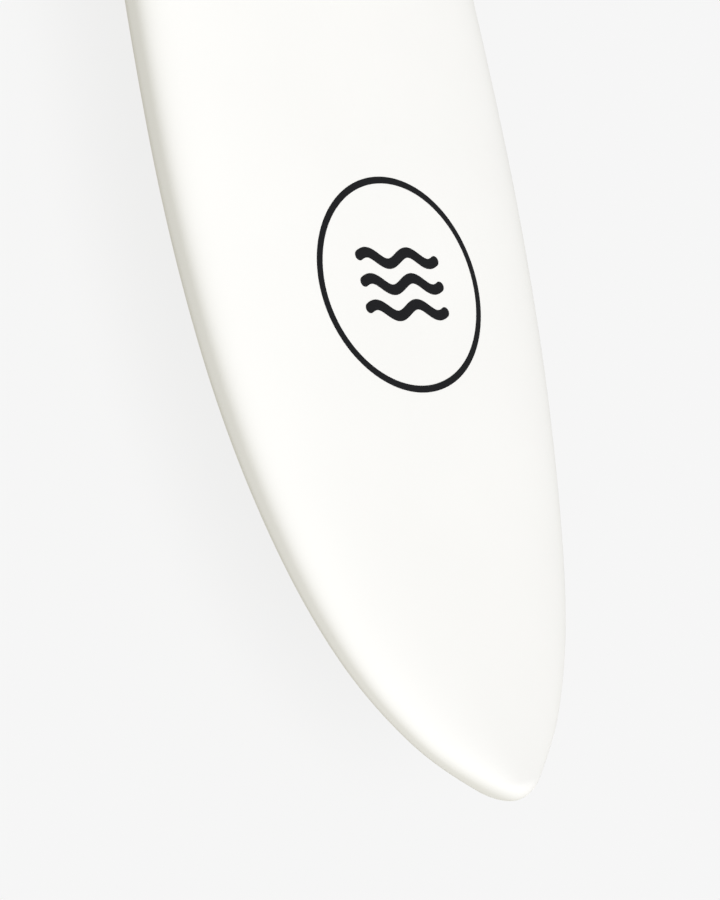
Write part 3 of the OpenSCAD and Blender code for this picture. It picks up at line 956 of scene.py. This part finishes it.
def print_piece(name, mesh, node):
    """Lays flat art on the deck as a thin printed film."""
    weld(mesh)
    prints = bpy.context.scene.print_sizes
    piece = new_piece(name, mesh)
    values = {
        "Deck": bpy.data.objects["deck_skin_foam"],
        "Film": prints.film,
        "Material": finish_for("print_ink"),
    }
    run_tree(piece, lay_tree(), values)
    weld(piece.data)
    if sum(face.normal.z for face in piece.data.polygons) < 0:
        piece.data.flip_normals()
    add_modifier(piece, "Film", "SOLIDIFY", thickness=prints.film * FILM_REACH, offset=-1)
    settle(piece)
    smooth(piece, SKIN_SHARP)
    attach(dress(piece, "print_ink"), "board")
    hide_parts(node)


def emblem_ring():
    board, prints = curves(), bpy.context.scene.print_sizes
    middle = prints.radius - prints.band / 2
    angles = np.linspace(0, 2 * math.pi, 361)
    centre = [(board.nose_x - prints.station + middle * math.cos(a), middle * math.sin(a)) for a in angles]
    direction = np.stack([-np.sin(angles), np.cos(angles)], 1)
    mesh = ring_band("emblem_ring_print", board, centre, direction, prints.band / 2, 5)
    print_piece("emblem_ring_print", mesh, "emblem_ring")


def ring_band(name, board, centre, direction, half, steps):
    """A closed flat band of even width."""
    centre = np.asarray(centre)[:-1]
    direction = direction[:-1]
    normal = np.stack([-direction[:, 1], direction[:, 0]], 1)
    across = np.linspace(-1, 1, steps)
    places = centre[:, None] + normal[:, None] * (half * across[None, :, None])
    above = board.base_z + DROP
    points = [(x, y, above) for x, y in places.reshape(-1, 2)]
    count = len(centre)
    faces = [
        (i * steps + j, i * steps + j + 1, (i + 1) % count * steps + j + 1, (i + 1) % count * steps + j)
        for i in range(count)
        for j in range(steps - 1)
    ]
    return mesh_from(name, points, faces)


def emblem_waves():
    board, prints = curves(), bpy.context.scene.print_sizes
    share = end_spaced(1, 241)
    y = (share - 0.5) * prints.wave_span
    rise = prints.wave_rise * np.sin(2 * math.pi * prints.wave_turns * share)
    run = np.concatenate([[0], np.cumsum(np.hypot(np.diff(y), np.diff(rise)))])
    half = prints.wave_band / 2
    from_end = np.minimum(run, run[-1] - run)
    rounded = half * np.sqrt(1 - np.clip(1 - from_end / half, 0, 1) ** 2)
    art = bmesh.new()
    for i in range(prints.waves):
        offset = (i - (prints.waves - 1) / 2) * prints.wave_pitch
        x = board.nose_x - prints.station - offset - rise
        line = flat_band("wave", board, np.stack([x, y], 1), rounded, 7)
        art.from_mesh(line)
        bpy.data.meshes.remove(line)
    mesh = bpy.data.meshes.new("emblem_waves_print")
    art.to_mesh(mesh)
    art.free()
    print_piece("emblem_waves_print", mesh, "emblem_waves")


# ---- Fins ----

# Thickness of a fin's leading and trailing edges.
FIN_EDGE = 0.5 * MM
# How a fin narrows and sweeps back from its root to its tip.
TIP_NARROWING = 0.62
NARROWING_POWER = 0.8
TIP_POWER = 5
SWEEP_POWER = 1.35
# The foil's curve along a chord, and its greatest value.
FOIL_POWER = 0.8
FOIL_PEAK = 0.4206
# How far the foil's root and the tongue's cut lie above the box's face.
ROOT_RISE = 1 * MM
TONGUE_CUT = 0.02 * MM
# A side fin is shorter than its base size, and nearly flat on its inner face.
SIDE_FIN_SHORTER = 2 * MM
SIDE_FLATNESS = 0.9


def fin_rings(base, sweep, depth, thickness, flat, lean, levels, points):
    """Sections of a fin from its root down to its tip, in its box's frame."""
    rings = []
    shares = (1 - np.cos(np.linspace(0, math.pi, points))) / 2
    shape = np.sqrt(shares) * (1 - shares) ** FOIL_POWER / FOIL_PEAK
    for v in np.sin(np.linspace(0, math.pi / 2, levels))[:-1]:
        chord = base * (1 - TIP_NARROWING * v**NARROWING_POWER) * math.sqrt(1 - v**TIP_POWER)
        lead = base / 2 - sweep * v**SWEEP_POWER
        body = thickness * chord / base / 2
        edge = FIN_EDGE / 2 * min(1, chord / base * 2)
        outer = lean * v * depth + edge + (shape * (1 + flat) - flat) * body
        inner = lean * v * depth - edge - (shape * (1 - flat) + flat) * body
        x = lead - shares * chord
        ring = np.concatenate([np.stack([x, outer], 1), np.stack([x, inner], 1)[::-1]])
        rings.append([(px, py, -v * depth) for px, py in ring])
    rings.insert(0, [(x, y, ROOT_RISE) for x, y, _ in rings[0]])
    return rings, (base / 2 - sweep, lean * depth, -depth)


def fin_foil(name, place, **shape):
    """A closed fin foil in a frame."""
    rings, tip = fin_rings(levels=49, points=33, **shape)
    size = len(rings[0])
    points = [place @ Vector(p) for ring in rings for p in ring] + [place @ Vector(tip)]
    faces = [
        (i * size + j, i * size + (j + 1) % size, (i + 1) * size + (j + 1) % size, (i + 1) * size + j)
        for i in range(len(rings) - 1)
        for j in range(size)
    ]
    last = (len(rings) - 1) * size
    faces += [(last + j, last + (j + 1) % size, len(points) - 1) for j in range(size)]
    faces.append(list(range(size)))
    mesh = mesh_from(name, points, faces)
    weld(mesh, 1e-7)
    return new_piece(name, mesh)


def cad_copy(name, node):
    """A welded copy of a CAD node's mesh."""
    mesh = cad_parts[node].data.copy()
    mesh.name = name
    work = bmesh.new()
    work.from_mesh(mesh)
    bmesh.ops.remove_doubles(work, verts=work.verts, dist=2e-6)
    bmesh.ops.dissolve_limit(
        work, angle_limit=math.radians(0.5), verts=work.verts, edges=work.edges, delimit={"NORMAL"}
    )
    work.to_mesh(mesh)
    work.free()
    return new_piece(name, mesh)


def fin_root(name, node, place):
    """The tongue of a CAD fin: what lies above its box's face."""
    piece = cad_copy(name, node)
    work = bmesh.new()
    work.from_mesh(piece.data)
    point = place @ Vector((0, 0, TONGUE_CUT))
    normal = (place.to_3x3() @ Vector((0, 0, 1))).normalized()
    geometry = work.verts[:] + work.edges[:] + work.faces[:]
    halved = bmesh.ops.bisect_plane(
        work, geom=geometry, plane_co=point, plane_no=normal, clear_inner=True
    )
    edges = [item for item in halved["geom_cut"] if isinstance(item, bmesh.types.BMEdge)]
    bmesh.ops.holes_fill(work, edges=edges)
    bmesh.ops.recalc_face_normals(work, faces=work.faces)
    work.to_mesh(piece.data)
    work.free()
    return piece


def fin_piece(name, node, body, place, **shape):
    """A fin: smooth foil, with the tongue that fits its box."""
    piece = fin_foil(name, place, **shape)
    tongue = fin_root(name + "_tongue", node, place)
    add_modifier(piece, "Tongue", "BOOLEAN", operation="UNION", solver="EXACT", object=tongue)
    settle(piece)
    bpy.data.objects.remove(tongue)
    smooth(piece, PART_SHARP)
    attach(dress(piece, "fin_plastic"), body)
    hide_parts(node)


def centre_fin():
    sizes = bpy.context.scene.fitting_sizes
    fin_piece(
        "centre_fin_foil",
        "centre_fin",
        "centre_fin_unit",
        box_frame(),
        base=sizes.fin_base,
        sweep=sizes.fin_sweep,
        depth=sizes.fin_depth,
        thickness=sizes.fin_thickness,
        flat=0,
        lean=0,
    )


def side_fins():
    sizes = bpy.context.scene.fitting_sizes
    for side, mirror in (("left", Matrix.Identity(4)), ("right", MIRROR_Y)):
        fin_piece(
            f"side_fin_{side}_foil",
            f"side_fin_{side}",
            "board",
            mirror @ side_frame(),
            base=sizes.side_base - SIDE_FIN_SHORTER,
            sweep=sizes.side_sweep,
            depth=sizes.side_depth,
            thickness=sizes.side_thickness,
            flat=SIDE_FLATNESS,
            lean=math.tan(math.radians(sizes.side_cant)),
        )


# ---- Fittings ----


def moulded(node, slot, body, edge):
    """A CAD node's shape with its edges softened."""
    piece = cad_copy(node + "_part", node)
    add_modifier(
        piece,
        "Soft edges",
        "BEVEL",
        width=edge,
        segments=2,
        limit_method="ANGLE",
        angle_limit=math.radians(PART_SHARP),
        use_clamp_overlap=True,
    )
    settle(piece)
    smooth(piece, PART_SHARP)
    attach(dress(piece, slot), body)
    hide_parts(node)


# ---- Stage ----


def shader_nodes(owner):
    """An empty node tree with its maker and its joiner."""
    owner.use_nodes = True
    tree = owner.node_tree
    tree.nodes.clear()
    return tree.nodes.new, tree.links.new


def studio_world(stage):
    """Even, soft light from all round; the camera sees the floor's own colour behind it."""
    world = bpy.data.worlds.new("studio")
    bpy.context.scene.world = world
    new, join = shader_nodes(world)
    light = new("ShaderNodeBackground")
    light.inputs["Strength"].default_value = stage.dome
    seen = new("ShaderNodeBackground")
    seen.inputs["Color"].default_value = (*stage.floor_colour, 1)
    mix = new("ShaderNodeMixShader")
    join(new("ShaderNodeLightPath").outputs["Is Camera Ray"], mix.inputs["Fac"])
    join(light.outputs[0], mix.inputs[1])
    join(seen.outputs[0], mix.inputs[2])
    join(mix.outputs[0], new("ShaderNodeOutputWorld").inputs["Surface"])


# How much of the floor's look is lit and can take a shadow.
SHADOW_SHARE = 0.12
# How broad the key light is, in degrees.
KEY_BREADTH = 50
SENSOR = 36


def floor_material(stage):
    """Keeps its even colour in the picture, takes a faint shadow, and is clear from below. To every other ray
    its top glows with the bounce colour, a painted bounce light on the board.
    """
    material = bpy.data.materials.new("pale floor")
    new, join = shader_nodes(material)
    glow = new("ShaderNodeEmission")
    glow.inputs["Color"].default_value = (*stage.floor_colour, 1)
    lit = new("ShaderNodeBsdfDiffuse")
    lit.inputs["Color"].default_value = (*stage.floor_colour, 1)
    seen = new("ShaderNodeMixShader")
    seen.inputs["Fac"].default_value = SHADOW_SHARE
    join(glow.outputs[0], seen.inputs[1])
    join(lit.outputs[0], seen.inputs[2])
    # Painted bounce light: to every ray but the camera's, the floor's top glows with the bounce colour,
    # whatever light falls on it.
    bounce = new("ShaderNodeEmission")
    bounce.inputs["Color"].default_value = (*stage.bounce_colour, 1)
    top = new("ShaderNodeMixShader")
    join(new("ShaderNodeLightPath").outputs["Is Camera Ray"], top.inputs["Fac"])
    join(bounce.outputs[0], top.inputs[1])
    join(seen.outputs[0], top.inputs[2])
    both = new("ShaderNodeMixShader")
    join(new("ShaderNodeNewGeometry").outputs["Backfacing"], both.inputs["Fac"])
    join(top.outputs[0], both.inputs[1])
    join(new("ShaderNodeBsdfTransparent").outputs[0], both.inputs[2])
    join(both.outputs[0], new("ShaderNodeOutputMaterial").inputs["Surface"])
    return material


def pale_floor(stage):
    half = stage.floor_size
    corners = [(-half, -half, 0), (half, -half, 0), (half, half, 0), (-half, half, 0)]
    floor = new_piece("floor", mesh_from("floor", corners, [(0, 1, 2, 3)]))
    floor.data.materials.append(floor_material(stage))


def key_light(stage):
    """A broad, soft key light from above, ahead of the nose and towards the right rail."""
    lamp = bpy.data.lights.new("key", "SUN")
    lamp.energy = stage.key
    lamp.angle = math.radians(KEY_BREADTH)
    holder = bpy.data.objects.new("key", lamp)
    bpy.context.scene.collection.objects.link(holder)
    holder.rotation_mode = "QUATERNION"
    holder.rotation_quaternion = Vector(stage.key_from).to_track_quat("Z", "Y")


def studio_camera(stage):
    """The camera looks down on the nose from the right rail's side, turned so that the nose points down."""
    lens = bpy.data.cameras.new("camera")
    lens.lens = stage.lens
    lens.sensor_width = SENSOR
    camera = bpy.data.objects.new("camera", lens)
    bpy.context.scene.collection.objects.link(camera)
    eye, aim = Vector(stage.eye), Vector(stage.aim)
    back = (eye - aim).normalized()
    right = Vector(stage.image_up).cross(back).normalized()
    up = back.cross(right)
    turn = Matrix((right, up, back)).transposed()
    camera.matrix_world = Matrix.Translation(eye) @ turn.to_4x4()
    bpy.context.scene.camera = camera


def studio():
    stage = bpy.context.scene.stage_settings
    bpy.context.scene.view_settings.view_transform = "Standard"
    studio_camera(stage)
    studio_world(stage)
    pale_floor(stage)
    key_light(stage)


# ---- Operators ----


class SURFBOARD_OT_stage(bpy.types.Operator):
    """Make the floor, the light and the camera"""

    bl_idname = "surfboard.stage"
    bl_label = "Stage"
    bl_options = {"REGISTER", "UNDO"}

    def execute(self, context):
        studio()
        return {"FINISHED"}


class SURFBOARD_OT_skins(bpy.types.Operator):
    """Make the foam deck skin and the slick bottom sheet"""

    bl_idname = "surfboard.skins"
    bl_label = "Skins"
    bl_options = {"REGISTER", "UNDO"}

    def execute(self, context):
        deck_skin()
        bottom_skin()
        return {"FINISHED"}


class SURFBOARD_OT_print(bpy.types.Operator):
    """Lay the printed ring and waves on the deck"""

    bl_idname = "surfboard.print"
    bl_label = "Print"
    bl_options = {"REGISTER", "UNDO"}

    def execute(self, context):
        emblem_ring()
        emblem_waves()
        return {"FINISHED"}


class SURFBOARD_OT_fins(bpy.types.Operator):
    """Make the centre fin and both side fins"""

    bl_idname = "surfboard.fins"
    bl_label = "Fins"
    bl_options = {"REGISTER", "UNDO"}

    def execute(self, context):
        centre_fin()
        side_fins()
        return {"FINISHED"}


def moulded_fittings():
    moulded("leash_cup", "fitting_plastic", "board", 0.5 * MM)
    moulded("fin_box", "fitting_plastic", "board", 0.5 * MM)
    for side in ("left", "right"):
        moulded(f"side_box_{side}", "fitting_plastic", "board", 0.4 * MM)


def metal_parts():
    moulded("leash_bar", "stainless", "board", 0.2 * MM)
    moulded("fin_pin", "brass_parts", "centre_fin_unit", 0.3 * MM)
    moulded("fin_plate", "brass_parts", "centre_fin_unit", 0.3 * MM)
    moulded("fin_screw", "stainless", "fin_screw", 0.2 * MM)
    for side in ("left", "right"):
        moulded(f"side_screw_{side}", "stainless", f"side_screw_{side}", 0.2 * MM)


def inner_parts():
    for node in ("core_left", "core_right"):
        dress_cad(node, "foam_core")
    dress_cad("stringer", "stringer_wood")


class SURFBOARD_OT_fittings(bpy.types.Operator):
    """Finish the leash plug and the fin boxes"""

    bl_idname = "surfboard.fittings"
    bl_label = "Plug and boxes"
    bl_options = {"REGISTER", "UNDO"}

    def execute(self, context):
        moulded_fittings()
        return {"FINISHED"}


class SURFBOARD_OT_metal(bpy.types.Operator):
    """Finish the screws, pin, plate and leash bar"""

    bl_idname = "surfboard.metal"
    bl_label = "Metal parts"
    bl_options = {"REGISTER", "UNDO"}

    def execute(self, context):
        metal_parts()
        return {"FINISHED"}


class SURFBOARD_OT_blank(bpy.types.Operator):
    """Finish the foam blank and its stringer"""

    bl_idname = "surfboard.blank"
    bl_label = "Blank"
    bl_options = {"REGISTER", "UNDO"}

    def execute(self, context):
        inner_parts()
        return {"FINISHED"}


BUILD_STEPS = (
    SURFBOARD_OT_stage,
    SURFBOARD_OT_skins,
    SURFBOARD_OT_print,
    SURFBOARD_OT_fins,
    SURFBOARD_OT_fittings,
    SURFBOARD_OT_metal,
    SURFBOARD_OT_blank,
)


class SURFBOARD_PT_build(bpy.types.Panel):
    """Lists the build steps and the sizes they use"""

    bl_idname = "SURFBOARD_PT_build"
    bl_label = "Surfboard"
    bl_space_type = "VIEW_3D"
    bl_region_type = "UI"
    bl_category = "Surfboard"

    def draw(self, context):
        for step in BUILD_STEPS:
            self.layout.operator(step.bl_idname)
        for group in SETTINGS:
            settings = getattr(context.scene, group)
            box = self.layout.box()
            for label in settings.bl_rna.properties.keys():
                if label not in ("rna_type", "name"):
                    box.prop(settings, label)


SETTINGS = {
    "board_sizes": BoardSizes,
    "print_sizes": PrintSizes,
    "fitting_sizes": FittingSizes,
    "finishes": Finishes,
    "stage_settings": StageSettings,
}
CLASSES = (*SETTINGS.values(), *BUILD_STEPS, SURFBOARD_PT_build)


def register():
    for cls in CLASSES:
        bpy.utils.register_class(cls)
    for label, group in SETTINGS.items():
        setattr(bpy.types.Scene, label, PointerProperty(type=group))


def unregister():
    for label in SETTINGS:
        delattr(bpy.types.Scene, label)
    for cls in reversed(CLASSES):
        bpy.utils.unregister_class(cls)


def main():
    register()
    for step in BUILD_STEPS:
        family, name = step.bl_idname.split(".")
        getattr(getattr(bpy.ops, family), name)()


if __name__ == "__main__":
    main()
